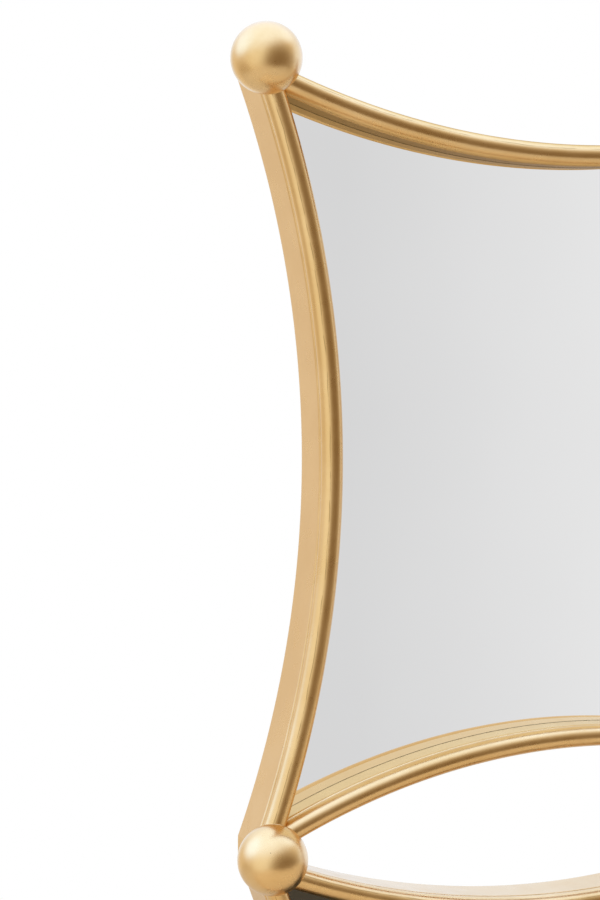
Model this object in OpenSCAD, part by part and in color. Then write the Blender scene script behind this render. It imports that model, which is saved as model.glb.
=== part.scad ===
// Vanity table with a fixed mirror: bowed frames of round tube on flat bar, joined by balls.
// Millimetres. X is the width, -Y is the front, +Z is up, the floor is Z = 0.

/* [Frame members] */
// Diameter of the round tube on the front of every frame
tube_d = 18.4; // [17:0.1:20]
// Wall thickness of the tube
tube_wall = 1.5; // [1.2:0.1:2]
// Width of the flat bar behind the tube
bar_w = 18; // [16:0.5:18]
// How far the flat bar reaches back from the middle of the tube
bar_depth = 44; // [40:1:50]
// Diameter of the corner balls
ball_d = 59; // [56:1:62]
// How far the middle of a ball stands in front of the tubes
ball_forward = 10.5; // [8:0.5:12]
// How far the corners of a frame are above or below the middles of their balls
corner_step = 10; // [8:1:11]
// How far the top balls stand outside the corners of the mirror
top_ball_out = 5; // [0:1:6]

/* [Mirror] */
// Width between the balls of the mirror
mirror_w = 587; // [560:1:620]
// Height between the balls of the mirror
mirror_h = 660; // [620:1:700]
// Height of the balls that the mirror and the back panel share
middle_z = 880; // [860:1:920]
// How far the sides of the mirror bow in
mirror_side_bow = 58.8; // [50:0.2:65]
// How far the top of the mirror bows in
mirror_top_bow = 58.6; // [50:0.2:65]
// How far the bottom of the mirror bows in
mirror_bottom_bow = 68.6; // [60:0.2:75]
// Setback of the glass from the middle of the tube
glass_setback = 25; // [20:1:32]
// Thickness of the mirror glass
glass_t = 4; // [3:0.5:5]

/* [Back panel] */
// How far the sides of the back panel bow in
panel_side_bow = 80; // [60:1:90]
// How far the top and bottom of the back panel bow in
panel_rail_bow = 60.4; // [55:0.2:70]
// Drop from the shared balls to the top corners of the back panel
panel_drop = 10; // [8:1:14]
// Setback of the gloss panels from the middle of the tube
panel_setback = 26; // [20:1:32]
// Thickness of the gloss panels
panel_t = 6; // [5:0.5:8]

/* [Table] */
// Height of the table top
table_h = 750; // [735:1:765]
// Width of the table top
table_w = 1130; // [1110:1:1180]
// Thickness of the table top
top_t = 20; // [18:1:24]
// Distance between the front and rear balls of an end frame
end_frame_w = 360; // [340:1:370]
// How far the legs of an end frame bow in
leg_bow = 48; // [40:1:55]
// How far the rails of an end frame bow in
end_rail_bow = 40; // [30:1:45]

/* [Case and drawers] */
// Height of the case under the top
case_h = 118; // [110:1:125]
// Depth of the case, without the drawer fronts
case_depth = 380; // [375:1:390]
// Width of the middle drawer's bay
center_bay_w = 350; // [320:1:380]
// Travel of each drawer
drawer_travel = 250; // [200:10:260]
// Diameter of the drawer knobs
knob_d = 26; // [22:1:30]

/* [Hidden] */
$fn = 96;
eps = 0.01;
gold = "#d8b070";
gloss_black = "#26231f";
ivory = "#ddd5c6";
steel = "#b9bcc0";
silver = "#d9d9da";
board_brown = "#3a352f";
ply_brown = "#8a6a48";
felt_grey = "#4a463f";

tube_r = tube_d / 2;
ball_r = ball_d / 2;
bar_front = tube_r / 2;
bar_edge_r = 2.4;

// Thickness of the felt glides, and the flat on a ball that rests on one
glide_t = 2.5;
glide_r = 10;
foot_z = ball_r;

// Sheets in the frames: their play, the board behind the mirror and the tabs behind them
sheet_play = 0.5;
backboard_t = 4;
tab_t = 2;

// Drawer fronts, their gap to the case and the gap between them
front_t = 18;
front_gap = 2;
reveal = 3;
knob_reach = 30;
front_rise = 2;

// Depths measured back from the front edge of the case, then shifted so that the object is centred
screen_gap = 12;
screen_depth = case_depth + screen_gap + tube_r;
foremost = front_t + front_gap + knob_reach;
rearmost = screen_depth + bar_depth;
end_frame_inset = 10;
case_front_y = (foremost - rearmost) / 2;
screen_y = case_front_y + screen_depth;
case_back_y = case_front_y + case_depth;
drawer_face_y = case_front_y - front_gap - front_t;

// The end frames stand outside the case, with their flat bars towards it
ball_inset = 5;
end_ball_x = table_w / 2 - ball_r - ball_inset;
end_tube_x = end_ball_x - ball_forward;
lug_t = 4;
case_half_w = end_tube_x - bar_depth - lug_t;
end_frame_y = case_front_y + end_frame_inset + end_frame_w / 2;
end_top_z = table_h - top_t - ball_r + glide_t;
end_frame_h = end_top_z - foot_z;

// Boards
end_board_t = 18;
divider_t = 16;
thin_board_t = 12;
case_top_z = table_h - top_t;
case_bottom_z = case_top_z - case_h;
bay_half_w = case_half_w - end_board_t;
side_bay_w = bay_half_w - center_bay_w / 2 - divider_t;
side_bay_x = center_bay_w / 2 + divider_t + side_bay_w / 2;

// Drawer slides: a channel on the case wall and a runner on the drawer
slide_gap = 12.7;
channel_h = 36;
channel_depth = 11;
channel_wall = 1.5;
runner_h = 27;
runner_back = 3;
slide_len = 340;
slide_rise = 2;
slide_z = case_bottom_z + case_h / 2 + slide_rise;
channel_inset = 2;
runner_inset = 4;
runner_len = 332;
box_rise = 16;
box_z = case_bottom_z + box_rise;
box_h = 84;
box_depth = 342;
box_wall = 12;
box_floor = 6;
knob_z = case_bottom_z + case_h / 2;
knob_screw_r = 2;
screw_play = 0.2;
bolt_play = 0.1;
through = 100;

// Radius of an arc from its chord and its bow
function arc_r(chord, bow) = (chord * chord / 4 + bow * bow) / (2 * bow);

// Drop of an arc below its chord at a distance along from the middle
function arc_dip(chord, bow, along) =
    sqrt(pow(arc_r(chord, bow), 2) - along * along) - (arc_r(chord, bow) - bow);

// Slope of an arc's end against its chord, in degrees
function end_angle(chord, bow) = asin(chord / 2 / arc_r(chord, bow));

// Flat bar's section with rounded edges, its front edge at a depth and its middle on the Y axis
module flat_section(front, margin) {
    w = bar_w - 2 * margin;
    d = bar_depth - front - 2 * margin;
    r = bar_edge_r - margin;
    translate([0, front + margin + d / 2]) {
        square([w - 2 * r, d], center = true);
        square([w, d - 2 * r], center = true);
        for (x = [-1, 1], y = [-1, 1]) translate([x * (w / 2 - r), y * (d / 2 - r)]) circle(r = r, $fn = 24);
    }
}

// Section of a bar: the tube with the flat bar welded behind it, in the arc's radius and depth
module bar_section(r, hollow = true) {
    translate([r, 0]) difference() {
        union() {
            circle(r = tube_r, $fn = 48);
            flat_section(bar_front, 0);
        }
        if (hollow) circle(r = tube_r - tube_wall, $fn = 48);
        if (hollow) flat_section(tube_r, tube_wall);
    }
}

// A bar before its ends are cut: the chord's middle at the origin, bowing down
module bar(chord, bow, hollow = true) {
    r = arc_r(chord, bow);
    spare_angle = 1.5;
    half_angle = end_angle(chord, bow) + spare_angle;
    translate([0, 0, r - bow])
        rotate([-90, 0, 0])
            rotate([0, 0, 90 - half_angle])
                rotate_extrude(angle = 2 * half_angle, $fn = 360) bar_section(r, hollow);
}

// The bar's share of its frame: the wedge between the mitres that it makes with the
// bars at its two ends, cut square past the corners
module mitre_wedge(chord, bow, other_chord, other_bow) {
    corner = 90 - end_angle(chord, bow) - end_angle(other_chord, other_bow);
    slope = end_angle(chord, bow) + corner / 2;
    reach = chord / 2;
    spare = 1;
    above = bar_w + 2 * spare;
    depth = 2 * bar_depth;
    below = reach * tan(slope);
    intersection() {
        translate([0, depth / 2, 0]) rotate([90, 0, 0]) linear_extrude(2 * depth, center = true)
            polygon([
                [0, -below],
                [reach + above / tan(slope), above],
                [-reach - above / tan(slope), above],
            ]);
        box([-reach, -depth, -below - spare], [reach, depth, above + spare]);
    }
}

// Places a bar on one side of a frame w wide and h high, centred on the origin
module on_side(side, w, h) {
    if (side == "top") translate([0, 0, h / 2]) children();
    if (side == "bottom") translate([0, 0, -h / 2]) rotate([0, 180, 0]) children();
    if (side == "left") translate([-w / 2, 0, 0]) rotate([0, -90, 0]) children();
    if (side == "right") translate([w / 2, 0, 0]) rotate([0, 90, 0]) children();
}

// Balls above and below the corners of a frame w wide and h high
module corner_balls(w, h, top_step, top_out = 0) {
    for (x = [-1, 1]) {
        translate([x * w / 2, -ball_forward, -h / 2 - corner_step]) sphere(r = ball_r);
        translate([x * (w / 2 + top_out), -ball_forward, h / 2 + top_step]) sphere(r = ball_r);
    }
}

// One mitred bar of a frame w wide and h high, its mitres cut as for a bar of mitre_bow
module frame_bar(side, w, h, bow, mitre_bow, other_bow, top_step = corner_step, top_out = 0) {
    upright = side == "left" || side == "right";
    chord = upright ? h : w;
    other_chord = upright ? w : h;
    difference() {
        on_side(side, w, h) intersection() {
            bar(chord, bow);
            mitre_wedge(chord, mitre_bow, other_chord, other_bow);
        }
        corner_balls(w, h, top_step, top_out);
    }
}

// Outline inside the four bars of a frame, less a clearance
module inner_outline(w, h, side_bow, top_bow, bottom_bow, clearance) {
    grow = bar_w / 2 + clearance;
    difference() {
        square([w, h], center = true);
        for (x = [-1, 1])
            translate([x * (w / 2 + arc_r(h, side_bow) - side_bow), 0])
                circle(r = arc_r(h, side_bow) + grow, $fn = 360);
        translate([0, h / 2 + arc_r(w, top_bow) - top_bow])
            circle(r = arc_r(w, top_bow) + grow, $fn = 360);
        translate([0, -h / 2 - arc_r(w, bottom_bow) + bottom_bow])
            circle(r = arc_r(w, bottom_bow) + grow, $fn = 360);
    }
}

// A sheet with a 2D outline, standing in the frame's plane with its front face set back
module sheet(setback, thickness) {
    translate([0, setback + thickness, 0]) rotate([90, 0, 0]) linear_extrude(thickness) children();
}

module box(low, high) {
    translate(low) cube(high - low);
}

// Heights of the frames between their corners, and their places
frame_h = mirror_h - 2 * corner_step;
panel_low_z = foot_z + corner_step;
panel_h = middle_z - panel_drop - panel_low_z;
end_h = end_frame_h - 2 * corner_step;

module at_mirror() {
    translate([0, screen_y, middle_z + mirror_h / 2]) children();
}

module at_panel() {
    translate([0, screen_y, panel_low_z + panel_h / 2]) children();
}

module at_end(side) {
    translate([side * end_tube_x, end_frame_y, foot_z + end_frame_h / 2]) rotate([0, 0, side * 90]) children();
}

// Mirror frame. Its corners share mitres cut for the mean bow of the two rails.
rail_bow = (mirror_top_bow + mirror_bottom_bow) / 2;

module mirror_stile(side) {
    color(gold) at_mirror()
        frame_bar(side, mirror_w, frame_h, mirror_side_bow, mirror_side_bow, rail_bow, corner_step, top_ball_out);
}

module mirror_rail(side, bow) {
    color(gold) at_mirror()
        frame_bar(side, mirror_w, frame_h, bow, rail_bow, mirror_side_bow, corner_step, top_ball_out);
}

module mirror_outline(clearance) {
    inner_outline(mirror_w, frame_h, mirror_side_bow, mirror_top_bow, mirror_bottom_bow, clearance);
}

module mirror_glass() {
    color(silver) at_mirror() sheet(glass_setback, glass_t) mirror_outline(sheet_play);
}

module mirror_backboard() {
    color(board_brown) at_mirror() sheet(glass_setback + glass_t, backboard_t) mirror_outline(sheet_play);
}

// Tabs welded inside the bars, behind a sheet, two on each side of the frame
module edge_tabs(w, h, side_bow, bow, setback) {
    tab_l = 30;
    tab_w = 21;
    for (x = [-1, 1], z = [-1, 1]) {
        translate([x * (w / 2 - arc_dip(h, side_bow, h / 4)), setback, z * h / 4])
            cube([2 * tab_w, 2 * tab_t, tab_l], center = true);
        translate([x * w / 5, setback, z * (h / 2 - arc_dip(w, bow, w / 5))])
            cube([tab_l, 2 * tab_t, 2 * tab_w], center = true);
    }
}

module mirror_clips() {
    setback = glass_setback + glass_t + backboard_t;
    color(steel) at_mirror() intersection() {
        edge_tabs(mirror_w, frame_h, mirror_side_bow, mirror_top_bow, setback);
        sheet(setback, tab_t) mirror_outline(0);
    }
}

// Back panel frame under the mirror
module panel_stile(side) {
    color(gold) at_panel()
        frame_bar(side, mirror_w, panel_h, panel_side_bow, panel_side_bow, panel_rail_bow, panel_drop);
}

module panel_rail(side) {
    color(gold) at_panel()
        frame_bar(side, mirror_w, panel_h, panel_rail_bow, panel_rail_bow, panel_side_bow, panel_drop);
}

module panel_outline(clearance) {
    inner_outline(mirror_w, panel_h, panel_side_bow, panel_rail_bow, panel_rail_bow, clearance);
}

module back_panel() {
    color(gloss_black) at_panel() sheet(panel_setback, panel_t) panel_outline(sheet_play);
}

module back_panel_clips() {
    setback = panel_setback + panel_t;
    color(steel) at_panel() intersection() {
        edge_tabs(mirror_w, panel_h, panel_side_bow, panel_rail_bow, setback);
        sheet(setback, tab_t) panel_outline(0);
    }
}

// Short uprights that join the mirror's corners to those of the back panel, outside the rails' ends
module frame_links() {
    color(gold) difference() {
        for (side = [-1, 1])
            translate([side * mirror_w / 2, screen_y, middle_z - panel_drop])
                linear_extrude(panel_drop + corner_step) intersection() {
                    bar_section(0);
                    translate([side * bar_w / 2, 0]) square([bar_w, 3 * bar_depth], center = true);
                }
        ball_pair(middle_z);
    }
}

// Balls on the front of the screen's corners
module ball_pair(z, out = 0) {
    for (x = [-1, 1]) translate([x * (mirror_w / 2 + out), screen_y - ball_forward, z]) sphere(r = ball_r);
}

module top_balls() {
    color(gold) ball_pair(middle_z + mirror_h, top_ball_out);
}

module middle_balls() {
    color(gold) ball_pair(middle_z);
}

module screen_foot_balls() {
    color(gold) intersection() {
        ball_pair(foot_z);
        box([-table_w, -table_w, glide_t], [table_w, table_w, ball_d + eps]);
    }
}

// End frames
module leg(side, which) {
    color(gold) at_end(side)
        frame_bar(which, end_frame_w, end_h, leg_bow, leg_bow, end_rail_bow);
}

module end_rail(side, which) {
    color(gold) at_end(side)
        frame_bar(which, end_frame_w, end_h, end_rail_bow, end_rail_bow, leg_bow);
}

module end_balls(side) {
    color(gold) intersection() {
        at_end(side) corner_balls(end_frame_w, end_h, corner_step);
        box([-table_w, -table_w, glide_t], [table_w, table_w, case_top_z]);
    }
}

module end_panel(side) {
    color(gloss_black) at_end(side) sheet(panel_setback, panel_t)
        inner_outline(end_frame_w, end_h, leg_bow, end_rail_bow, end_rail_bow, sheet_play);
}

module floor_glides() {
    color(felt_grey) {
        for (x = [-1, 1]) translate([x * mirror_w / 2, screen_y - ball_forward, 0])
            cylinder(r = glide_r, h = glide_t);
        for (x = [-1, 1], y = [-1, 1])
            translate([x * end_ball_x, end_frame_y + y * end_frame_w / 2, 0]) cylinder(r = glide_r, h = glide_t);
    }
}

// Table top: an ivory gloss board with a round edge bar let into its sides
top_overhang = 16;
top_rear_gap = 2;
top_front_y = drawer_face_y - top_overhang;
top_rear_y = screen_y - tube_r - top_rear_gap;
top_mid_z = table_h - top_t / 2;
top_corner_r = 26;
edge_r = top_t / 2;
top_depth = top_rear_y - top_front_y;
top_inset = 1;

module top_outline(margin) {
    r = top_corner_r - margin;
    w = table_w - 2 * margin;
    d = top_depth - 2 * margin;
    translate([0, (top_front_y + top_rear_y) / 2]) {
        square([w - 2 * r, d], center = true);
        square([w, d - 2 * r], center = true);
        for (x = [-1, 1], y = [-1, 1]) translate([x * (w / 2 - r), y * (d / 2 - r)]) circle(r = r);
    }
}

module table_top() {
    color(ivory) translate([0, 0, case_top_z]) linear_extrude(top_t - top_inset) top_outline(edge_r);
}

module edge_profile() {
    intersection() {
        circle(r = edge_r, $fn = 48);
        translate([0, -edge_r]) square([edge_r, 2 * edge_r]);
    }
}

module edge_bar(length) {
    rotate([90, 0, 0]) linear_extrude(length, center = true) edge_profile();
}

module top_trim() {
    inner_w = table_w - 2 * edge_r;
    inner_d = top_depth - 2 * edge_r;
    corner = top_corner_r - edge_r;
    color(gold) translate([0, (top_front_y + top_rear_y) / 2, top_mid_z]) {
        for (side = [-1, 1]) {
            rotate([0, 0, side > 0 ? 0 : 180]) translate([inner_w / 2, 0, 0]) edge_bar(inner_d - 2 * corner);
            rotate([0, 0, side * 90]) translate([inner_d / 2, 0, 0]) edge_bar(inner_w - 2 * corner);
        }
        for (quarter = [0:3]) {
            half = quarter % 2 == 0 ? [inner_w / 2, inner_d / 2] : [inner_d / 2, inner_w / 2];
            rotate([0, 0, quarter * 90]) translate([half[0] - corner, half[1] - corner, 0])
                rotate_extrude(angle = 90) translate([corner, 0]) edge_profile();
        }
    }
}

// Case
module case_end(side) {
    color(gloss_black) difference() {
        translate([side * (case_half_w - end_board_t / 2), 0, 0])
            box([-end_board_t / 2, case_front_y, case_bottom_z], [end_board_t / 2, case_back_y, case_top_z]);
        lug_bolt_holes(lug_bolt_r + bolt_play);
    }
}

module case_bottom() {
    color(gloss_black)
        box([-bay_half_w, case_front_y, case_bottom_z],
            [bay_half_w, case_back_y - thin_board_t, case_bottom_z + thin_board_t]);
}

module case_back() {
    color(gloss_black) difference() {
        box([-bay_half_w, case_back_y - thin_board_t, case_bottom_z], [bay_half_w, case_back_y, case_top_z]);
        at_spacers() rotate([90, 0, 0]) cylinder(r = screen_bolt_r + bolt_play, h = through, center = true);
    }
}

module divider(side) {
    color(gloss_black) translate([side * (center_bay_w + divider_t) / 2, 0, 0])
        box([-divider_t / 2, case_front_y, case_bottom_z + thin_board_t],
            [divider_t / 2, case_back_y - thin_board_t, case_top_z]);
}

// Plates between the end frames' bars and the case, each with two bolts
lug_l = 44;
lug_h = 70;
lug_bolt_rise = 33;
lug_rise = 13;
lug_y = 46;
lug_bolt_r = 3;
lug_bolt_pitch = 26;

module at_lugs() {
    for (x = [-1, 1], y = [case_front_y + lug_y, case_back_y - lug_y])
        translate([x * case_half_w, y, case_bottom_z + lug_bolt_rise]) rotate([0, x * 90, 0]) children();
}

module lug_bolt_holes(r) {
    at_lugs() for (z = [-1, 1]) translate([z * lug_bolt_pitch / 2, 0, 0])
        cylinder(r = r, h = 2 * end_board_t + lug_t, center = true);
}

module end_frame_lugs() {
    color(steel) difference() {
        for (x = [-1, 1], y = [case_front_y + lug_y, case_back_y - lug_y])
            translate([x * (case_half_w + lug_t / 2), y, case_bottom_z + lug_bolt_rise + lug_rise])
                cube([lug_t, lug_l, lug_h], center = true);
        lug_bolt_holes(lug_bolt_r + bolt_play);
    }
}

module lug_bolts() {
    shank = 14;
    head_r = 5.5;
    head_h = 3.5;
    color(steel) at_lugs() for (z = [-1, 1]) translate([z * lug_bolt_pitch / 2, 0, 0]) {
        translate([0, 0, -shank]) cylinder(r = lug_bolt_r, h = shank + lug_t + eps);
        translate([0, 0, lug_t]) cylinder(r = head_r, h = head_h, $fn = 6);
    }
}

// Spacers and bolts that hold the screen to the back of the case
spacer_r = 8;
screen_bolt_r = 3;
screen_bolt_l = 21;
spacer_hole_l = 20;
spacer_low_rise = 30;
spacer_high_drop = 22;

module at_spacers() {
    for (x = [-1, 1], z = [case_bottom_z + spacer_low_rise, case_top_z - spacer_high_drop])
        translate([x * (mirror_w / 2 - arc_dip(panel_h, panel_side_bow, z - panel_low_z - panel_h / 2)), case_back_y,
            z]) children();
}

module screen_spacers() {
    color(gold) difference() {
        at_spacers() rotate([-90, 0, 0]) cylinder(r = spacer_r, h = screen_gap + tube_r / 2);
        at_spacers() rotate([90, 0, 0]) cylinder(r = screen_bolt_r + bolt_play, h = spacer_hole_l, center = true);
        at_panel() for (side = ["left", "right"])
            on_side(side, mirror_w, panel_h) bar(panel_h, panel_side_bow, hollow = false);
    }
}

module screen_bolts() {
    head_r = 5.5;
    head_h = 3.5;
    color(steel) at_spacers() translate([0, -thin_board_t, 0]) rotate([-90, 0, 0]) {
        cylinder(r = screen_bolt_r, h = screen_bolt_l);
        translate([0, 0, -head_h]) cylinder(r = head_r, h = head_h + eps, $fn = 6);
    }
}

// Slides
module slide_channels(x, bay_w) {
    color(steel) for (side = [-1, 1]) translate([x + side * bay_w / 2, case_front_y + channel_inset, slide_z])
        scale([side, 1, 1]) difference() {
            box([-channel_depth, 0, -channel_h / 2], [0, slide_len, channel_h / 2]);
            box([-channel_depth - 1, -1, channel_wall - channel_h / 2],
                [-channel_wall, slide_len + 1, channel_h / 2 - channel_wall]);
        }
}

module drawer_runners(x, bay_w) {
    color(steel) for (side = [-1, 1]) translate([x + side * bay_w / 2, case_front_y + runner_inset, slide_z])
        scale([side, 1, 1])
            box([-slide_gap, 0, -runner_h / 2], [-runner_back, runner_len, runner_h / 2]);
}

// Drawers
module at_knob(x) {
    translate([x, drawer_face_y, knob_z]) rotate([90, 0, 0]) children();
}

module drawer_front(x, w) {
    color(gloss_black) difference() {
        box([x - w / 2, drawer_face_y, case_bottom_z + front_rise],
            [x + w / 2, drawer_face_y + front_t, case_top_z - reveal]);
        at_knob(x) cylinder(r = knob_screw_r + screw_play, h = through, center = true);
    }
}

module drawer_box(x, bay_w, knob_x) {
    w = bay_w - 2 * slide_gap;
    y0 = drawer_face_y + front_t;
    color(ply_brown) difference() {
        box([x - w / 2, y0, box_z], [x + w / 2, y0 + box_depth, box_z + box_h]);
        box([x - w / 2 + box_wall, y0 + box_wall, box_z + box_floor],
            [x + w / 2 - box_wall, y0 + box_depth - box_wall, box_z + box_h + 1]);
        at_knob(knob_x) cylinder(r = knob_screw_r + screw_play, h = through, center = true);
    }
}

module drawer_knob(x) {
    rosette_r = 10;
    rosette_h = 3;
    stem_r = 4.5;
    thread_play = 0.05;
    thread_l = 12;
    knob_r = knob_d / 2;
    color(gold) at_knob(x) difference() {
        union() {
            cylinder(r = rosette_r, h = rosette_h);
            cylinder(r = stem_r, h = knob_reach - knob_r);
            translate([0, 0, knob_reach - knob_r]) sphere(r = knob_r);
        }
        translate([0, 0, -1]) cylinder(r = knob_screw_r + thread_play, h = thread_l + 1);
    }
}

module knob_screw(x) {
    reach = 11;
    head_r = 4;
    head_h = 2.5;
    color(steel) at_knob(x) {
        translate([0, 0, -front_t - box_wall]) cylinder(r = knob_screw_r, h = front_t + box_wall + reach);
        translate([0, 0, -front_t - box_wall - head_h]) cylinder(r = head_r, h = head_h + eps);
    }
}

side_front_w = (2 * case_half_w - center_bay_w - divider_t - 2 * reveal) / 2;
side_front_x = case_half_w - side_front_w / 2;
center_front_w = center_bay_w + divider_t - reveal;

mirror_stile("left");  // mirror_left_stile
mirror_stile("right");  // mirror_right_stile
mirror_rail("top", mirror_top_bow);  // mirror_top_rail
mirror_rail("bottom", mirror_bottom_bow);  // mirror_bottom_rail
panel_stile("left");  // panel_left_stile
panel_stile("right");  // panel_right_stile
panel_rail("top");  // panel_top_rail
panel_rail("bottom");  // panel_bottom_rail
frame_links();
top_balls();
middle_balls();
screen_foot_balls();
mirror_glass();
mirror_backboard();
mirror_clips();
back_panel();
back_panel_clips();
leg(-1, "right");  // left_front_leg
leg(-1, "left");  // left_rear_leg
end_rail(-1, "top");  // left_top_rail
end_rail(-1, "bottom");  // left_bottom_rail
end_balls(-1);  // left_end_balls
end_panel(-1);  // left_end_panel
leg(1, "left");  // right_front_leg
leg(1, "right");  // right_rear_leg
end_rail(1, "top");  // right_top_rail
end_rail(1, "bottom");  // right_bottom_rail
end_balls(1);  // right_end_balls
end_panel(1);  // right_end_panel
floor_glides();
table_top();
top_trim();
case_end(-1);  // case_left_end
case_end(1);  // case_right_end
case_bottom();
case_back();
divider(-1);  // left_divider
divider(1);  // right_divider
end_frame_lugs();
lug_bolts();
screen_spacers();
screen_bolts();
slide_channels(-side_bay_x, side_bay_w);  // left_slide_channels
slide_channels(0, center_bay_w);  // center_slide_channels
slide_channels(side_bay_x, side_bay_w);  // right_slide_channels
drawer_front(-side_front_x, side_front_w);  // left_drawer_front
drawer_box(-side_bay_x, side_bay_w, -side_front_x);  // left_drawer_box
drawer_runners(-side_bay_x, side_bay_w);  // left_drawer_runners
drawer_knob(-side_front_x);  // left_drawer_knob
knob_screw(-side_front_x);  // left_knob_screw
drawer_front(0, center_front_w);  // center_drawer_front
drawer_box(0, center_bay_w, 0);  // center_drawer_box
drawer_runners(0, center_bay_w);  // center_drawer_runners
drawer_knob(0);  // center_drawer_knob
knob_screw(0);  // center_knob_screw
drawer_front(side_front_x, side_front_w);  // right_drawer_front
drawer_box(side_bay_x, side_bay_w, side_front_x);  // right_drawer_box
drawer_runners(side_bay_x, side_bay_w);  // right_drawer_runners
drawer_knob(side_front_x);  // right_drawer_knob
knob_screw(side_front_x);  // right_knob_screw
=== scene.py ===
"""Vanity table with a fixed mirror: the looks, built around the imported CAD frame. Metres, +Z up, front -Y."""

import math

import bmesh
import bpy
from mathutils import Matrix, Vector


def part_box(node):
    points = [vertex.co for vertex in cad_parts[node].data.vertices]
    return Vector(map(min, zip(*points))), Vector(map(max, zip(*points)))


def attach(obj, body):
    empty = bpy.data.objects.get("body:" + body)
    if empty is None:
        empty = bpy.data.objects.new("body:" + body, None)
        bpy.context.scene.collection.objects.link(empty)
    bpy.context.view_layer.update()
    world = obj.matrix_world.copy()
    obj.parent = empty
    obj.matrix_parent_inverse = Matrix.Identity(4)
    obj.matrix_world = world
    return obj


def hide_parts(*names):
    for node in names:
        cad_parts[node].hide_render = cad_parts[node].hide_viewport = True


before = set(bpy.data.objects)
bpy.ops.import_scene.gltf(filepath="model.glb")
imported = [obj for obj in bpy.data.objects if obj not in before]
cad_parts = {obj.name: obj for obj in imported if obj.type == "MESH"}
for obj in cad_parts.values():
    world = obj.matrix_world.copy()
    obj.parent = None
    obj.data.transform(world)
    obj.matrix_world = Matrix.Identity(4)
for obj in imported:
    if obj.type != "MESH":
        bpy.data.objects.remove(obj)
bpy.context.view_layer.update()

# Frame members, as in the CAD
TUBE_R = 0.0092
BAR_HALF = 0.009
BAR_FRONT = 0.0046
BAR_DEPTH = 0.044
BAR_EDGE = 0.0024
BALL_R = 0.0295
BALL_FORWARD = 0.0105
CORNER_STEP = 0.010
TOP_BALL_OUT = 0.005
PANEL_DROP = 0.010
GLIDE_T = 0.0025

# The screen: mirror above, gloss panel below
SCREEN_W = 0.587
SCREEN_Y = 0.2036
MIDDLE_Z = 0.880
MIRROR_H = 0.660
MIRROR_SIDE_BOW = 0.0588
MIRROR_TOP_BOW = 0.0586
MIRROR_BOTTOM_BOW = 0.0686
PANEL_SIDE_BOW = 0.080
PANEL_RAIL_BOW = 0.0604
PANEL_LOW_Z = BALL_R + CORNER_STEP
PANEL_H = MIDDLE_Z - PANEL_DROP - PANEL_LOW_Z
FRAME_H = MIRROR_H - 2 * CORNER_STEP
MIRROR_Z = MIDDLE_Z + MIRROR_H / 2
TOP_Z = MIDDLE_Z + MIRROR_H

# The end frames
END_TUBE_X = 0.520
END_FRAME_Y = -0.0076
END_FRAME_W = 0.360
END_TOP_Z = 0.703
TOP_UNDERSIDE = 0.730
END_FRAME_H = END_TOP_Z - BALL_R
END_H = END_FRAME_H - 2 * CORNER_STEP
END_Z = BALL_R + END_FRAME_H / 2
LEG_BOW = 0.048
END_RAIL_BOW = 0.040

# Sheets in the frames: setback behind the tubes' middles, thickness, chamfer, play round the edge
GLASS_SHEET = (0.025, 0.004, 0.0002, 0.00005)
PANEL_SHEET = (0.026, 0.006, 0.0008, 0.0006)

# Drawers, boards and the rounding of their edges
DRAWERS = ("left", "center", "right")
BOX_WALL = 0.012
BOX_FLOOR = 0.006
BOX_FLOOR_LAP = 0.0005
BOX_FLOOR_LIFT = 0.0002
CASE_EDGE = 0.0008
FRONT_EDGE = 0.0016
BOX_EDGE = 0.0009
BOX_FLOOR_EDGE = 0.0004
KNOB_R = 0.013
KNOB_STEM_R = 0.0045
KNOB_REACH = 0.030

# Weld beads: radius, how far they sink in, rise and spread as shares of it, and their ripple
BEAD_R = 0.00045
BEAD_SINK, BEAD_RISE, BEAD_SPREAD = 0.35, 0.9, 1.5
BEAD_RIPPLE, BEAD_WAVES = 0.12, 5

# Distances round a bar's outline from the middle of the tube's front: where the flat bar's side, with its painted
# sheen and painted light, takes over, the groove just before it, with its painted shade, and the dark hairline of
# painted reflection along the tube
SIDE_FROM, SIDE_FULL = 0.0190, 0.0225
GROOVE_AT, GROOVE_REACH = 0.0195, 0.0022
REFLECTED_LINE_AT, REFLECTED_LINE_WAVER = 0.0053, 0.0005
REFLECTED_LINE_CORE, REFLECTED_LINE_EDGE = 0.00012, 0.0005

# How finely the shapes are cut
BAR_STATIONS = 97
OUTLINE_STEPS = 40
TUBE_STEPS, ROOT_STEPS, EDGE_STEPS = 22, 6, 5
BALL_STEPS, BALL_TURN = 56, 96
COLLAR_POINTS, BEAD_SIDES = 48, 8
KNOB_STEPS, KNOB_TURN = 36, 64
GLIDE_TURN = 40


# ---------------------------------------------------------------- materials
class Tree:
    """A node tree, with short calls for the nodes that the materials and the world share."""

    def __init__(self, tree):
        self.tree = tree

    def put(self, socket, value):
        """Link a socket to another node's output, or set it."""
        if isinstance(value, bpy.types.NodeSocket):
            self.tree.links.new(value, socket)
        else:
            socket.default_value = value

    def add(self, kind, inputs=None, **settings):
        node = self.tree.nodes.new(kind)
        for key, value in settings.items():
            setattr(node, key, value)
        for key, value in (inputs or {}).items():
            self.put(node.inputs[key], value)
        return node

    def math(self, operation, a, b=0.0):
        return self.add("ShaderNodeMath", {0: a, 1: b}, operation=operation).outputs[0]

    def ramp(self, value, low, high, out_low, out_high, shape="LINEAR"):
        inputs = {"Value": value, 1: low, 2: high, 3: out_low, 4: out_high}
        return self.add("ShaderNodeMapRange", inputs, clamp=True, interpolation_type=shape).outputs[0]

    def mix(self, factor, a, b):
        """Blend from colour a to colour b, each a triple or another node's output."""
        node = self.add("ShaderNodeMix", {"Factor": factor}, data_type="RGBA")
        for index, colour in ((6, a), (7, b)):
            self.put(node.inputs[index], (*colour, 1.0) if isinstance(colour, tuple) else colour)
        return node.outputs[2]


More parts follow.
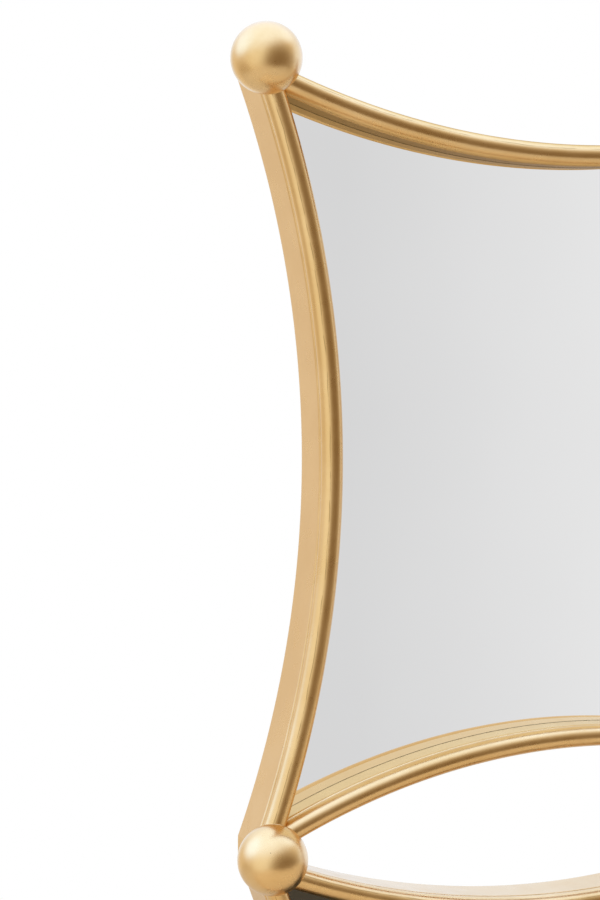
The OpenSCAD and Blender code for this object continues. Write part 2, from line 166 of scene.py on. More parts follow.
class Finish(Tree):
    """A material made from procedural nodes."""

    def __init__(self, name):
        self.material = bpy.data.materials.new(name)
        self.material.use_nodes = True
        super().__init__(self.material.node_tree)
        self.shader = self.tree.nodes["Principled BSDF"]
        self.coordinates = self.add("ShaderNodeTexCoord")

    def set(self, **values):
        """Constants, set on the shader's own sockets."""
        for key, value in values.items():
            self.shader.inputs[key.replace("_", " ")].default_value = value

    def feed(self, socket, output):
        self.tree.links.new(output, self.shader.inputs[socket])

    def stretched(self, scale):
        """Object coordinates, stretched by a scale along each axis."""
        mapping = {"Vector": self.coordinates.outputs["Object"], "Scale": scale}
        return self.add("ShaderNodeMapping", mapping).outputs[0]

    def noise(self, scale, detail=3.0, roughness=0.55, vector=None):
        inputs = {"Vector": vector or self.coordinates.outputs["Object"], "Scale": scale, "Detail": detail,
                  "Roughness": roughness}
        return self.add("ShaderNodeTexNoise", inputs).outputs["Fac"]

    def colour(self, value, low, high, dark, light):
        """Base colour from dark to light as a value goes from low to high."""
        self.feed("Base Color", self.mix(self.ramp(value, low, high, 0.0, 1.0), dark, light))

    def roughness(self, noise, smooth, rough):
        """Roughness between two limits over the range that a noise mostly keeps to."""
        self.feed("Roughness", self.ramp(noise, 0.3, 0.7, smooth, rough))

    def bump(self, height, strength, distance):
        inputs = {"Height": height, "Strength": strength, "Distance": distance}
        self.feed("Normal", self.add("ShaderNodeBump", inputs).outputs["Normal"])


def gold_material(name, member, inner=(0.78, 0.56, 0.285), edge_tint=(1.0, 1.0, 1.0)):
    """Satin gold leaf: soft mottling, fine brushing, a few specks. On the frames' members the flat bar's outer
    face has a painted sheen that makes it paler than the tube, the inner face has painted light of its own colour
    (darkened to painted shade for one bar), the groove between them has painted shade, and a faint wavering
    painted reflection runs along the tube as a dark hairline."""
    m = Finish(name)
    m.set(Metallic=1.0, Specular_Tint=(*edge_tint, 1.0))
    cloud = m.noise(14.0, 4.0)
    fine = m.noise(260.0, 3.0, 0.6)
    tone = m.math("ADD", m.math("MULTIPLY", cloud, 0.84), m.math("MULTIPLY", fine, 0.16))
    mottle = m.ramp(tone, 0.36, 0.64, 0.0, 1.0)
    colour = m.mix(mottle, (0.700, 0.440, 0.180), (0.770, 0.510, 0.235))
    if member:
        around = m.add("ShaderNodeSeparateXYZ", {0: m.coordinates.outputs["UV"]}).outputs[0]
        # Painted sheen: the flat bar's outer face is painted a little paler and less saturated than the tube, for
        # how it catches the light
        pale = m.mix(mottle, (0.700, 0.447, 0.205), (0.748, 0.492, 0.238))
        colour = m.mix(m.ramp(around, -SIDE_FULL, -SIDE_FROM, 1.0, 0.0), colour, pale)
        # Painted light on the inner face: lighter than the tube by default, darker in the gold with painted shade
        colour = m.mix(m.ramp(around, SIDE_FROM, SIDE_FULL, 0.0, 1.0), colour, inner)
        # Painted shade in the groove between the tube and the flat bar, broken up by a noise
        groove = m.ramp(m.math("ABSOLUTE", m.math("ADD", around, GROOVE_AT)), 0.0, GROOVE_REACH, 1.0, 0.0)
        painted_groove_shade = m.math("MULTIPLY", groove, m.ramp(m.noise(26.0, 4.0, 0.7), 0.46, 0.66, 0.26, 0.66))
        colour = m.mix(painted_groove_shade, colour, (0.42, 0.225, 0.07))
        # Painted reflection: a faint wavering dark hairline along the tube
        waver = m.ramp(m.noise(34.0, 2.0), 0.3, 0.7, -REFLECTED_LINE_WAVER, REFLECTED_LINE_WAVER)
        off = m.math("ABSOLUTE", m.math("ADD", m.math("ADD", around, REFLECTED_LINE_AT), waver))
        line = m.ramp(off, REFLECTED_LINE_CORE, REFLECTED_LINE_EDGE, 1.0, 0.0)
        broken = m.ramp(m.noise(55.0, 3.0), 0.40, 0.56, 0.10, 0.72)
        colour = m.mix(m.math("MULTIPLY", line, broken), colour, (0.33, 0.185, 0.06))
    cells = m.add("ShaderNodeTexVoronoi", {"Vector": m.coordinates.outputs["Object"], "Scale": 105.0})
    shade = m.add("ShaderNodeSeparateColor", {0: cells.outputs["Color"]}).outputs[0]
    chosen = m.math("GREATER_THAN", shade, 0.9)
    near = m.math("LESS_THAN", cells.outputs["Distance"], 0.045)
    specks = m.math("MULTIPLY", m.math("MULTIPLY", chosen, near), 0.7)
    m.feed("Base Color", m.mix(specks, colour, (0.16, 0.09, 0.035)))
    m.roughness(m.noise(42.0, 5.0, 0.65), 0.25, 0.34)
    m.bump(m.math("ADD", fine, m.math("MULTIPLY", m.noise(70.0, 2.0), 0.6)), 0.12, 0.00012)
    return m.material


def gloss_material(name, colour, roughness, coat, depth=0.72):
    """Lacquer or back-painted glass, with a faint cloud in its depth and a slight orange peel."""
    m = Finish(name)
    m.set(IOR=1.6, Coat_Weight=coat, Coat_Roughness=0.03, Specular_Tint=(1.0, 0.84, 0.62, 1.0))
    m.colour(m.noise(6.0, 4.0), 0.35, 0.65, tuple(c * depth for c in colour), colour)
    m.roughness(m.noise(38.0, 4.0), roughness * 0.8, roughness * 1.3)
    m.bump(m.noise(240.0, 2.0), 0.06, 0.0001)
    return m.material


def mirror_material():
    """Silvered float glass: a clean mirror with the faintest cloud in the silvering."""
    m = Finish("mirror_silver")
    m.set(Metallic=1.0, Roughness=0.0)
    m.colour(m.noise(5.0, 2.0), 0.3, 0.7, (0.945, 0.945, 0.945), (0.965, 0.965, 0.965))
    return m.material


def glass_edge_material():
    """The ground edge of the glass, dark grey: partly grey from the backing paint behind it, partly painted shadow
    of the gap round the glass.
    """
    m = Finish("glass_edge")
    m.colour(m.noise(300.0, 2.0), 0.3, 0.7, (0.075, 0.08, 0.078), (0.13, 0.135, 0.13))
    m.roughness(m.noise(500.0, 2.0), 0.35, 0.5)
    return m.material


def steel_material():
    """Zinc plating: pale blue-grey with crystal-like patches and rolling lines."""
    m = Finish("plated_steel")
    m.set(Metallic=1.0)
    lines = m.noise(60.0, 4.0, 0.6, m.stretched((14.0, 0.4, 14.0)))
    m.colour(m.noise(120.0, 3.0), 0.35, 0.65, (0.47, 0.48, 0.50), (0.60, 0.61, 0.62))
    m.roughness(lines, 0.28, 0.42)
    m.bump(lines, 0.15, 0.0001)
    return m.material


def wood_material():
    """Straight-grained lacquered plywood."""
    m = Finish("drawer_wood")
    grain = {"Vector": m.stretched((26.0, 1.6, 26.0)), "Scale": 1.3, "Distortion": 5.5, "Detail": 3.0,
             "Detail Scale": 1.4}
    wave = m.add("ShaderNodeTexWave", grain).outputs["Fac"]
    pores = m.noise(30.0, 3.0, 0.7, m.stretched((40.0, 1.2, 40.0)))
    tone = m.math("ADD", m.math("MULTIPLY", wave, 0.55), m.math("MULTIPLY", pores, 0.45))
    m.colour(tone, 0.3, 0.75, (0.235, 0.130, 0.062), (0.43, 0.27, 0.145))
    m.roughness(pores, 0.38, 0.52)
    m.bump(pores, 0.2, 0.0002)
    return m.material


def board_material():
    """Painted fibre board behind the mirror."""
    m = Finish("backing_board")
    fibres = m.noise(420.0, 5.0, 0.7)
    m.colour(fibres, 0.35, 0.65, (0.020, 0.017, 0.014), (0.052, 0.044, 0.036))
    m.roughness(fibres, 0.55, 0.75)
    m.bump(fibres, 0.35, 0.0002)
    return m.material


def felt_material():
    """Dark felt of the glides."""
    m = Finish("felt")
    m.set(Sheen_Weight=0.4, Sheen_Roughness=0.5)
    fuzz = m.noise(900.0, 6.0, 0.8)
    m.colour(fuzz, 0.3, 0.7, (0.05, 0.043, 0.037), (0.13, 0.115, 0.10))
    m.roughness(fuzz, 0.85, 1.0)
    m.bump(fuzz, 0.6, 0.0004)
    return m.material


def floor_material():
    """Pale matt studio floor."""
    m = Finish("studio_floor")
    m.set(Specular_IOR_Level=0.12)
    m.colour(m.noise(3.0, 4.0), 0.3, 0.7, (0.735, 0.728, 0.715), (0.765, 0.758, 0.745))
    m.roughness(m.noise(20.0, 3.0), 0.5, 0.62)
    return m.material


# The bars' gold, with painted sheen, painted light, painted shade in the groove and a painted reflection line
GOLD_TUBE = gold_material("gold_leaf_tube", True)
# Gold with painted shade: a darker inner face and darker grazing reflections, for the mirror's top bar whose inner
# side lies in shade
GOLD_PAINTED_SHADE = gold_material("gold_leaf_painted_shade", True, (0.46, 0.30, 0.145), (0.62, 0.48, 0.33))
GOLD = gold_material("gold_leaf", False)
LACQUER = gloss_material("black_gloss", (0.021, 0.018, 0.015), 0.10, 0.0)
DARK_GLASS = gloss_material("black_glass", (0.026, 0.023, 0.018), 0.06, 0.0)
IVORY_GLASS = gloss_material("ivory_glass", (0.74, 0.69, 0.61), 0.07, 0.6, 0.94)
MIRROR = mirror_material()
GLASS_EDGE = glass_edge_material()
STEEL = steel_material()
DRAWER_WOOD = wood_material()
BACKING = board_material()
FELT = felt_material()


# ---------------------------------------------------------------- mesh helpers
def make_piece(name, verts, faces, body, materials, node, uvs=None, sharp=35.0, face_material=None):
    """A mesh piece that rides on a CAD body and stands for a CAD node."""
    mesh = bpy.data.meshes.new(name)
    mesh.from_pydata([tuple(v) for v in verts], [], faces)
    if uvs:
        layer = mesh.uv_layers.new(name="UVMap")
        for loop in mesh.loops:
            layer.data[loop.index].uv = uvs[loop.vertex_index]
    if face_material:
        for polygon, index in zip(mesh.polygons, face_material):
            polygon.material_index = index
    bm = bmesh.new()
    bm.from_mesh(mesh)
    bmesh.ops.recalc_face_normals(bm, faces=bm.faces)
    bm.to_mesh(mesh)
    bm.free()
    mesh.shade_smooth()
    mesh.set_sharp_from_angle(angle=math.radians(sharp))
    for material in materials:
        mesh.materials.append(material)
    obj = bpy.data.objects.new(name, mesh)
    bpy.context.scene.collection.objects.link(obj)
    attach(obj, body)
    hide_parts(node)


class Soup:
    """Vertices and faces of several shapes gathered into one mesh."""

    def __init__(self):
        self.verts, self.faces = [], []

    def add(self, verts, faces):
        start = len(self.verts)
        self.verts += [Vector(v) for v in verts]
        self.faces += [[start + i for i in face] for face in faces]

    def add_box(self, low, high, edge):
        """A box with rounded edges."""
        bm = bmesh.new()
        bmesh.ops.create_cube(bm, size=1.0)
        low, high = Vector(low), Vector(high)
        for v in bm.verts:
            v.co = Vector([low[i] + (v.co[i] + 0.5) * (high[i] - low[i]) for i in range(3)])
        bmesh.ops.bevel(bm, geom=bm.edges[:], offset=edge, segments=3, profile=0.5, affect="EDGES")
        bm.verts.index_update()
        self.add([v.co for v in bm.verts], [[v.index for v in f.verts] for f in bm.faces])
        bm.free()


def arc(cx, cy, radius, start, end, steps):
    """Points of a circular arc, with both its ends."""
    angles = [start + (end - start) * i / steps for i in range(steps + 1)]
    return [(cx + radius * math.cos(a), cy + radius * math.sin(a)) for a in angles]


def lathe(profile, steps, matrix):
    """A profile of (radius, height) points turned about the local Z axis, closed where the radius is 0."""
    verts, faces, rings = [], [], []
    for radius, height in profile:
        if radius < 1e-7:
            rings.append([len(verts)])
            verts.append(matrix @ Vector((0, 0, height)))
        else:
            rings.append(list(range(len(verts), len(verts) + steps)))
            for i in range(steps):
                a = 2 * math.pi * i / steps
                verts.append(matrix @ Vector((radius * math.cos(a), radius * math.sin(a), height)))
    for lower, upper in zip(rings, rings[1:]):
        for i in range(steps):
            j = (i + 1) % steps
            if len(lower) == 1:
                faces.append([lower[0], upper[j], upper[i]])
            elif len(upper) == 1:
                faces.append([lower[i], lower[j], upper[0]])
            else:
                faces.append([lower[i], lower[j], upper[j], upper[i]])
    return verts, faces


# ---------------------------------------------------------------- bars
def arc_radius(chord, bow):
    return (chord * chord / 4 + bow * bow) / (2 * bow)


def end_angle(chord, bow):
    return math.asin(chord / 2 / arc_radius(chord, bow))


def half_section():
    """Half of a bar's outline as (across, depth), from the middle of the tube's front to the middle of the back.
    Extra points 1 mm from the rounded edges keep the flats' shading flat."""
    cx, cy = BAR_HALF - BAR_EDGE, BAR_FRONT + BAR_EDGE
    d = math.hypot(cx, cy)
    a = (TUBE_R**2 - BAR_EDGE**2 + d * d) / (2 * d)
    h = math.sqrt(TUBE_R**2 - a * a)
    meet = Vector((a * cx / d + h * cy / d, a * cy / d - h * cx / d))
    tube_end = math.atan2(meet.y, meet.x)
    root_start = math.atan2(meet.y - cy, meet.x - cx)
    back_cy = BAR_DEPTH - BAR_EDGE
    points = arc(0.0, 0.0, TUBE_R, -math.pi / 2, tube_end, TUBE_STEPS)
    points += arc(cx, cy, BAR_EDGE, root_start, 0.0, ROOT_STEPS)[1:]
    points += [(BAR_HALF, cy + 0.001), (BAR_HALF, back_cy - 0.001)]
    points += arc(cx, back_cy, BAR_EDGE, 0.0, math.pi / 2, EDGE_STEPS)
    points += [(cx - 0.001, BAR_DEPTH), (0.0, BAR_DEPTH)]
    points[0] = (0.0, -TUBE_R)
    return points


def section_ring():
    """The whole outline, with each point's distance along it from the middle of the tube's front."""
    half = half_section()
    lengths = [0.0]
    for p, q in zip(half, half[1:]):
        lengths.append(lengths[-1] + math.dist(p, q))
    right = list(zip(half, lengths))
    left = [((-p[0], p[1]), -s) for p, s in right[1:-1]]
    return right + left[::-1]


RING = section_ring()
BACK = len(half_section()) - 1


def end_reach(chord, bow, mitre, across):
    """Angle at which a line of the bar, that far across from its middle, meets the mitre or the square cut."""
    r, half_chord = arc_radius(chord, bow), chord / 2
    own, other = mitre
    corner = math.pi / 2 - end_angle(*own) - end_angle(*other)
    slope = end_angle(*own) + corner / 2
    rho = r + across
    limit = math.asin(min(1.0, half_chord / rho))
    cosine = (r - bow + half_chord * math.tan(slope)) / (rho * math.hypot(1, math.tan(slope)))
    if cosine < 1:
        limit = min(limit, slope - math.acos(cosine))
    return limit


def bar_shape(chord, bow, mitre, matrix):
    """A mitred bar: its outline swept along its arc. The UVs are distances round the outline and along the bar."""
    r = arc_radius(chord, bow)
    count = len(RING)
    reaches = [end_reach(chord, bow, mitre, p[0]) for p, _ in RING]
    verts, uvs = [], []
    for j in range(BAR_STATIONS):
        t = 2 * j / (BAR_STATIONS - 1) - 1
        for ((across, depth), around), reach in zip(RING, reaches):
            phi = t * reach
            rho = r + across
            verts.append(matrix @ Vector((rho * math.sin(phi), depth, r - bow - rho * math.cos(phi))))
            uvs.append((around, phi * r))
    faces = []
    for near in range(0, (BAR_STATIONS - 1) * count, count):
        far = near + count
        for i in range(count):
            k = (i + 1) % count
            faces.append([near + i, near + k, far + k, far + i])
    for base in (0, (BAR_STATIONS - 1) * count):
        faces.append([base + i for i in range(BACK + 1)])
        faces.append([base + i for i in range(BACK, count)] + [base])
    return verts, faces, uvs


# Where the middle of a frame's side lies, in half widths and half heights, and its turn about Y in degrees
SIDES = {"top": (0, 1, 0), "bottom": (0, -1, 180), "left": (-1, 0, -90), "right": (1, 0, 90)}


def side_matrix(side, w, h):
    x, z, turn = SIDES[side]
    return Matrix.Translation((x * w / 2, 0, z * h / 2)) @ Matrix.Rotation(math.radians(turn), 4, "Y")


class BowedFrame:
    """Four bars bowed inwards round an opening, in the plane that its matrix makes of X and Z."""

    def __init__(self, matrix, w, h, side_bow, top_bow, bottom_bow):
        self.matrix, self.w, self.h = matrix, w, h
        self.bows = {"left": side_bow, "right": side_bow, "top": top_bow, "bottom": bottom_bow}

    def chord(self, side):
        return self.h if side in ("left", "right") else self.w

    def mitre(self, side):
        """Chords and bows that set the slope of the mitres at a side's ends: its own, then its neighbours'."""
        upright = (self.h, self.bows["left"])
        rail = (self.w, (self.bows["top"] + self.bows["bottom"]) / 2)
        return (upright, rail) if side in ("left", "right") else (rail, upright)

    def bar(self, side, node):
        matrix = self.matrix @ side_matrix(side, self.w, self.h)
        verts, faces, uvs = bar_shape(self.chord(side), self.bows[side], self.mitre(side), matrix)
        # The mirror's top bar takes the gold with painted shade on its inner side
        gold = GOLD_PAINTED_SHADE if node == "mirror_top_rail" else GOLD_TUBE
        make_piece(node + "_bar", verts, faces, "table", [gold], node, uvs)

    def tube_ends(self):
        """The ends of the tubes' centre lines, and the directions in which the tubes leave them."""
        for side in ("left", "right", "top", "bottom"):
            chord = self.chord(side)
            slope = end_angle(chord, self.bows[side])
            m = self.matrix @ side_matrix(side, self.w, self.h)
            for sign in (-1, 1):
                point = m @ Vector((sign * chord / 2, 0, 0))
                direction = m.to_3x3() @ Vector((-sign * math.cos(slope), 0, -math.sin(slope)))
                yield point, direction.normalized()

    def outline(self, play):
        """Points round the inside of the bars, less some play, in the frame's own X and Z."""
        points = []
        for side in ("top", "right", "bottom", "left"):
            chord, bow = self.chord(side), self.bows[side]
            r = arc_radius(chord, bow)
            rho = r + BAR_HALF + play
            reach = end_reach(chord, bow, self.mitre(side), BAR_HALF + play)
            m = side_matrix(side, self.w, self.h)
            for i in range(OUTLINE_STEPS):
                phi = reach * (2 * i / OUTLINE_STEPS - 1)
                p = m @ Vector((rho * math.sin(phi), 0, r - bow - rho * math.cos(phi)))
                points.append((p.x, p.z))
        return points


def at_end(side):
    turn = Matrix.Rotation(math.radians(90 * side), 4, "Z")
    return Matrix.Translation((side * END_TUBE_X, END_FRAME_Y, END_Z)) @ turn


MIRROR_FRAME = BowedFrame(Matrix.Translation((0, SCREEN_Y, MIRROR_Z)), SCREEN_W, FRAME_H, MIRROR_SIDE_BOW,
                          MIRROR_TOP_BOW, MIRROR_BOTTOM_BOW)
PANEL_FRAME = BowedFrame(Matrix.Translation((0, SCREEN_Y, PANEL_LOW_Z + PANEL_H / 2)), SCREEN_W, PANEL_H,
                         PANEL_SIDE_BOW, PANEL_RAIL_BOW, PANEL_RAIL_BOW)
END_FRAMES = {side: BowedFrame(at_end(side), END_FRAME_W, END_H, LEG_BOW, END_RAIL_BOW, END_RAIL_BOW)
              for side in (-1, 1)}
ENDS = ((-1, "left"), (1, "right"))
for prefix, bowed in (("mirror", MIRROR_FRAME), ("panel", PANEL_FRAME)):
    for side, kind in (("left", "stile"), ("right", "stile"), ("top", "rail"), ("bottom", "rail")):
        bowed.bar(side, f"{prefix}_{side}_{kind}")
for (sign, word), (front, rear) in zip(ENDS, (("right", "left"), ("left", "right"))):
    for side, part in ((front, "front_leg"), (rear, "rear_leg"), ("top", "top_rail"), ("bottom", "bottom_rail")):
        END_FRAMES[sign].bar(side, f"{word}_{part}")


def link_pieces():
    """Short uprights between the mirror's corners and the panel's: the outer half of the bar's section, widened
    to meet the slanting ends of the stiles above and below."""
    soup = Soup()
    half = half_section()
    count = len(half)
    levels = ((MIDDLE_Z - PANEL_DROP, end_angle(PANEL_H, PANEL_SIDE_BOW)),
              (MIDDLE_Z + CORNER_STEP, end_angle(FRAME_H, MIRROR_SIDE_BOW)))
    for sign in (-1, 1):
        verts = [Vector((sign * (SCREEN_W / 2 + across / math.cos(slant)), SCREEN_Y + depth, z))
                 for z, slant in levels for across, depth in half]
        faces = [[i, (i + 1) % count, count + (i + 1) % count, count + i] for i in range(count)]
        faces += [list(range(count)), list(range(count, 2 * count))]
        soup.add(verts, faces)
    make_piece("screen_links", soup.verts, soup.faces, "table", [GOLD], "frame_links")


link_pieces()


# ---------------------------------------------------------------- balls
def weld_collar(centre, point, direction, phase):
    """A low weld bead where a tube runs into a ball."""
    side = direction.orthogonal().normalized()
    other = direction.cross(side)
    path, normals = [], []
    for i in range(COLLAR_POINTS):
        a = 2 * math.pi * i / COLLAR_POINTS
        out = side * math.cos(a) + other * math.sin(a)
        w = point - centre + out * TUBE_R
        along = -w.dot(direction) + math.sqrt(max(0.0, w.dot(direction) ** 2 - (w.length_squared - BALL_R**2)))
        path.append(centre + w + direction * along)
        normals.append(out)
    verts, faces = [], []
    for i, (p, out) in enumerate(zip(path, normals)):
        ball_out = (p - centre).normalized()
        bead = BEAD_R * (1 + BEAD_RIPPLE * math.sin(BEAD_WAVES * i * 2 * math.pi / COLLAR_POINTS + phase))
        tangent = (path[(i + 1) % COLLAR_POINTS] - path[i - 1]).normalized()
        u = (ball_out + out).normalized()
        v = tangent.cross(u).normalized()
        for k in range(BEAD_SIDES):
            t = 2 * math.pi * k / BEAD_SIDES
            round_bead = u * math.cos(t) * BEAD_RISE + v * math.sin(t) * BEAD_SPREAD
            verts.append(p - u * bead * BEAD_SINK + round_bead * bead)
    for i in range(COLLAR_POINTS):
        for k in range(BEAD_SIDES):
            j, n = (i + 1) % COLLAR_POINTS, (k + 1) % BEAD_SIDES
            faces.append([i * BEAD_SIDES + k, i * BEAD_SIDES + n, j * BEAD_SIDES + n, j * BEAD_SIDES + k])
    return verts, faces


def ball_profile(on_glide):
    """A ball's outline as (radius, height), with a flat where it rests on a glide."""
    low, points = -math.pi / 2, []
    if on_glide:
        low = -math.asin((BALL_R - GLIDE_T) / BALL_R)
        points.append((0.0, -(BALL_R - GLIDE_T)))
    for radius, height in arc(0.0, 0.0, BALL_R, low, math.pi / 2, BALL_STEPS):
        points.append((radius if radius > 1e-6 * BALL_R else 0.0, height))
    return points


def cut_above(profile, top):
    """A ball's outline with a flat cut across it at a height."""
    return [p for p in profile if p[1] < top] + [(math.sqrt(BALL_R**2 - top * top), top), (0.0, top)]


def balls(name, centres, bowed_frames, node, flat_above=None):
    """Balls with weld beads where the tubes run in. Those near the floor rest on glides, and others may be cut
    flat at a level."""
    soup = Soup()
    for number, centre in enumerate(centres):
        low = centre.z < 2 * BALL_R
        profile = ball_profile(low)
        if flat_above and not low:
            profile = cut_above(profile, flat_above - centre.z)
        soup.add(*lathe(profile, BALL_TURN, Matrix.Translation(centre)))
        for bowed in bowed_frames:
            for point, direction in bowed.tube_ends():
                if (point - centre).length < 0.7 * BALL_R:
                    soup.add(*weld_collar(centre, point, direction, number + len(soup.faces)))
    make_piece(name, soup.verts, soup.faces, "table", [GOLD], node)


def screen_corners(z, out=0.0):
    return [Vector((s * (SCREEN_W / 2 + out), SCREEN_Y - BALL_FORWARD, z)) for s in (-1, 1)]


def end_corners(sign, z):
    return [Vector((sign * (END_TUBE_X + BALL_FORWARD), END_FRAME_Y + t * END_FRAME_W / 2, z)) for t in (-1, 1)]


balls("mirror_top_balls", screen_corners(TOP_Z, TOP_BALL_OUT), [MIRROR_FRAME], "top_balls")
balls("shared_balls", screen_corners(MIDDLE_Z), [MIRROR_FRAME, PANEL_FRAME], "middle_balls")
balls("screen_feet", screen_corners(BALL_R), [PANEL_FRAME], "screen_foot_balls")
for sign, word in ENDS:
    balls(word + "_frame_balls", end_corners(sign, BALL_R) + end_corners(sign, END_TOP_Z), [END_FRAMES[sign]],
          word + "_end_balls", TOP_UNDERSIDE)


# ---------------------------------------------------------------- glass and panels
def plate(name, bowed, sheet, node, material, edge_material):
    """A sheet inside a frame, with ground front and back edges."""
    setback, thickness, chamfer, play = sheet
    outer, inner = bowed.outline(play), bowed.outline(play + chamfer)
    rows = [(inner, 0.0), (outer, chamfer), (outer, thickness - chamfer), (inner, thickness)]
    count = len(outer)
    verts = [bowed.matrix @ Vector((x, setback + depth, z)) for points, depth in rows for x, z in points]
    faces, indices = [list(range(count)), list(range(3 * count, 4 * count))], [0, 0]
    for k in range(3):
        for i in range(count):
            j = (i + 1) % count
            faces.append([k * count + i, k * count + j, (k + 1) * count + j, (k + 1) * count + i])
            indices.append(1)
    make_piece(name, verts, faces, "table", [material, edge_material], node, sharp=20.0,
               face_material=indices)


plate("mirror_plate", MIRROR_FRAME, GLASS_SHEET, "mirror_glass", MIRROR, GLASS_EDGE)
plate("screen_panel", PANEL_FRAME, PANEL_SHEET, "back_panel", DARK_GLASS, DARK_GLASS)
for sign, word in ENDS:
    plate(word + "_side_panel", END_FRAMES[sign], PANEL_SHEET, word + "_end_panel", DARK_GLASS, DARK_GLASS)


# ---------------------------------------------------------------- case and drawers
def lacquered_board(name, node, body, edge):
    soup = Soup()
    soup.add_box(*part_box(node), edge)
    make_piece(name, soup.verts, soup.faces, body, [LACQUER], node)


def drawer_box(word, body):
    """Four walls and a floor, let into them."""
    low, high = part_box(word + "_drawer_box")
    x0, y0, x1, y1 = low.x + BOX_WALL, low.y + BOX_WALL, high.x - BOX_WALL, high.y - BOX_WALL
    walls = (
        ((low.x, low.y, low.z), (x0, high.y, high.z)),
        ((x1, low.y, low.z), (high.x, high.y, high.z)),
        ((x0, low.y, low.z), (x1, y0, high.z)),
        ((x0, y1, low.z), (x1, high.y, high.z)),
    )
    soup = Soup()
    for wall in walls:
        soup.add_box(*wall, BOX_EDGE)
    soup.add_box((x0 - BOX_FLOOR_LAP, y0 - BOX_FLOOR_LAP, low.z + BOX_FLOOR_LIFT),
                 (x1 + BOX_FLOOR_LAP, y1 + BOX_FLOOR_LAP, low.z + BOX_FLOOR), BOX_FLOOR_EDGE)
    make_piece(word + "_box_boards", soup.verts, soup.faces, body, [DRAWER_WOOD],
               word + "_drawer_box")


def knob_profile():
    """Turned knob: a stepped rosette, a waisted stem and a ball, as (radius, reach from the drawer's face)."""
    points = [(0.0, 0.0), (0.0094, 0.0), (0.0099, 0.0004), (0.01, 0.0011), (0.0096, 0.0017), (0.0085, 0.0021),
              (0.0078, 0.0023), (0.0075, 0.0027), (0.0068, 0.0030), (0.0054, 0.0032), (0.0046, 0.0038),
              (0.0042, 0.0046)]
    ball = arc(0.0, KNOB_REACH - KNOB_R, KNOB_R, -math.acos(KNOB_STEM_R / KNOB_R), math.pi / 2, KNOB_STEPS)
    return points + ball[:-1] + [(0.0, KNOB_REACH)]


def drawer_knob(word, body):
    low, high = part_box(word + "_drawer_knob")
    at_knob = Matrix.Translation(((low.x + high.x) / 2, high.y, (low.z + high.z) / 2))
    verts, faces = lathe(knob_profile(), KNOB_TURN, at_knob @ Matrix.Rotation(math.pi / 2, 4, "X"))
    make_piece(word + "_turned_knob", verts, faces, body, [GOLD], word + "_drawer_knob", sharp=50.0)


for node in ("case_left_end", "case_right_end", "case_bottom", "case_back", "left_divider", "right_divider"):
    lacquered_board(node + "_board", node, "table", CASE_EDGE)
for word in DRAWERS:
    lacquered_board(word + "_front_board", word + "_drawer_front", word + "_drawer", FRONT_EDGE)
    drawer_box(word, word + "_drawer")
    drawer_knob(word, word + "_drawer")

# Felt discs under the balls
GLIDE_RIM = [(0.0, 0.0), (0.0094, 0.0), (0.0099, 0.0004), (0.01, 0.001), (0.0099, 0.002), (0.0095, GLIDE_T),
             (0.0, GLIDE_T)]
glides = Soup()
for spot in screen_corners(0.0) + end_corners(-1, 0.0) + end_corners(1, 0.0):
    glides.add(*lathe(GLIDE_RIM, GLIDE_TURN, Matrix.Translation(spot)))
make_piece("felt_discs", glides.verts, glides.faces, "table", [FELT], "floor_glides")

# CAD nodes that keep their own shape
CARRIED = {"table_top": IVORY_GLASS, "top_trim": GOLD, "screen_spacers": GOLD, "mirror_backboard": BACKING}
for node in ("mirror_clips", "back_panel_clips", "end_frame_lugs", "lug_bolts", "screen_bolts"):
    CARRIED[node] = STEEL
for word in DRAWERS:
    for part in ("slide_channels", "drawer_runners", "knob_screw"):
        CARRIED[f"{word}_{part}"] = STEEL
for node, material in CARRIED.items():
    for material_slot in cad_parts[node].material_slots:
        material_slot.material = material

# ---------------------------------------------------------------- studio
FLOOR_HALF = 2.2
bm = bmesh.new()
bmesh.ops.create_grid(bm, x_segments=24, y_segments=24, size=FLOOR_HALF)
floor_mesh = bpy.data.meshes.new("studio_floor")
bm.to_mesh(floor_mesh)
bm.free()
floor = bpy.data.objects.new("studio_floor", floor_mesh)
floor_mesh.materials.append(floor_material())
bpy.context.scene.collection.objects.link(floor)


def aim(obj, way):
    obj.rotation_mode = "QUATERNION"
    obj.rotation_quaternion = way.to_track_quat("-Z", "Y")


def softbox(name, location, target, size, watts):
    """A soft lamp that only lights: neither the camera nor a reflection sees it."""
    data = bpy.data.lights.new(name, "AREA")
    data.shape = "RECTANGLE"
    data.size, data.size_y = size
    data.energy = watts
    lamp = bpy.data.objects.new(name, data)
    lamp.location = location
    aim(lamp, Vector(target) - Vector(location))
    lamp.visible_camera = False
    lamp.visible_glossy = False
    bpy.context.scene.collection.objects.link(lamp)


softbox("overhead", location=(-0.9, -0.5, 3.3), target=(0.0, 0.1, 1.1), size=(2.6, 1.6), watts=32.0)
softbox("upper_left", location=(-2.6, -1.9, 2.4), target=(0.0, 0.1, 1.2), size=(1.2, 1.4), watts=14.0)

# What satin surfaces see of the studio: an even colour, with soft patches blended over it. Each patch has its
# azimuth (from the front towards the right), its elevation, the angles from its middle at which it ends and is
# full, all in degrees, and its colour
AROUND = (0.97, 0.94, 0.84)
PATCHES = (
    (156, 14, 54, 12, (1.08, 1.30, 1.62)),
    (104, 6, 38, 8, (1.15, 1.42, 2.0)),
    (-56, 8, 50, 8, (1.16, 1.27, 1.36)),
    (-110, 76, 78, 14, (1.42, 1.90, 3.0)),
    (95, 58, 36, 10, (1.42, 1.92, 3.1)),
    (-116, 34, 36, 5, (1.46, 2.15, 3.9)),
    (-117, -34, 36, 6, (0.68, 0.62, 0.52)),
    (22, -17, 70, 8, (0.27, 0.20, 0.125)),
)
SECOND_BOUNCE = (0.98, 0.98, 0.92)
DIFFUSE_LIGHT = (0.92, 0.915, 0.90)
# What the mirror sees: a grey that pales towards the right, brighter above a level
MIRROR_LEFT, MIRROR_RIGHT, MIRROR_ABOVE = (0.705, 0.705, 0.708), (0.83, 0.83, 0.832), (1.05, 1.08, 1.0)


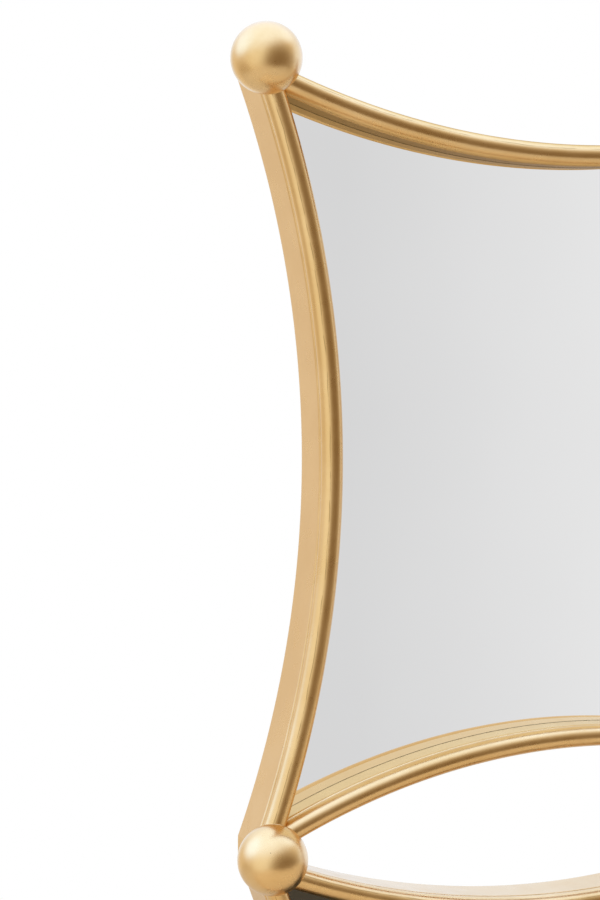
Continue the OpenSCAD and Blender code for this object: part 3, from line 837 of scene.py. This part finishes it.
def studio_world():
    """White surroundings for the camera, with their own tones for diffuse light, satin gold and the mirror."""
    world = bpy.data.worlds.new("studio")
    bpy.context.scene.world = world
    world.use_nodes = True
    t = Tree(world.node_tree)
    direction = t.add("ShaderNodeTexCoord").outputs["Generated"]
    around = AROUND
    for azimuth, elevation, outer, inner, colour in PATCHES:
        azimuth, elevation, outer, inner = map(math.radians, (azimuth, elevation, outer, inner))
        way = (math.sin(azimuth) * math.cos(elevation), -math.cos(azimuth) * math.cos(elevation),
               math.sin(elevation))
        closeness = t.add("ShaderNodeVectorMath", {0: direction, 1: way}, operation="DOT_PRODUCT")
        factor = t.ramp(closeness.outputs["Value"], math.cos(outer), math.cos(inner), 0.0, 1.0, "SMOOTHSTEP")
        around = t.mix(factor, around, colour)
    along = t.add("ShaderNodeSeparateXYZ", {0: direction}).outputs
    in_mirror = t.mix(t.ramp(along[0], 0.425, 0.54, 0.0, 1.0), MIRROR_LEFT, MIRROR_RIGHT)
    in_mirror = t.mix(t.ramp(along[2], 0.115, 0.16, 0.0, 1.0), in_mirror, MIRROR_ABOVE)
    path = t.add("ShaderNodeLightPath").outputs
    around = t.mix(t.math("GREATER_THAN", path["Glossy Depth"], 1.5), around, SECOND_BOUNCE)
    seen = t.mix(path["Is Glossy Ray"], DIFFUSE_LIGHT, around)
    seen = t.mix(path["Is Singular Ray"], seen, in_mirror)
    seen = t.mix(path["Is Camera Ray"], seen, (1.0, 1.0, 1.0))
    background = t.tree.nodes["Background"]
    t.put(background.inputs["Color"], seen)
    t.put(background.inputs["Strength"], 1.0)


studio_world()
bpy.context.scene.view_settings.view_transform = "Standard"

# ---------------------------------------------------------------- camera
# Fitted to the photograph, from the middle of the mirror
CAMERA_LEFT = 0.99776
CAMERA_BACK = 1.64742
CAMERA_UP = 0.11315
CAMERA_YAW = 0.4190
CAMERA_PITCH = 0.0573
CAMERA_LENS = 86.94
camera_data = bpy.data.cameras.new("camera")
camera_data.lens = CAMERA_LENS
camera_data.sensor_width = 36.0
camera_data.clip_end = 50.0
camera = bpy.data.objects.new("camera", camera_data)
camera.location = (-CAMERA_LEFT, SCREEN_Y - CAMERA_BACK, MIRROR_Z + CAMERA_UP)
aim(camera, Vector((math.sin(CAMERA_YAW) * math.cos(CAMERA_PITCH), math.cos(CAMERA_YAW) * math.cos(CAMERA_PITCH),
                    -math.sin(CAMERA_PITCH))))
bpy.context.scene.collection.objects.link(camera)
bpy.context.scene.camera = camera
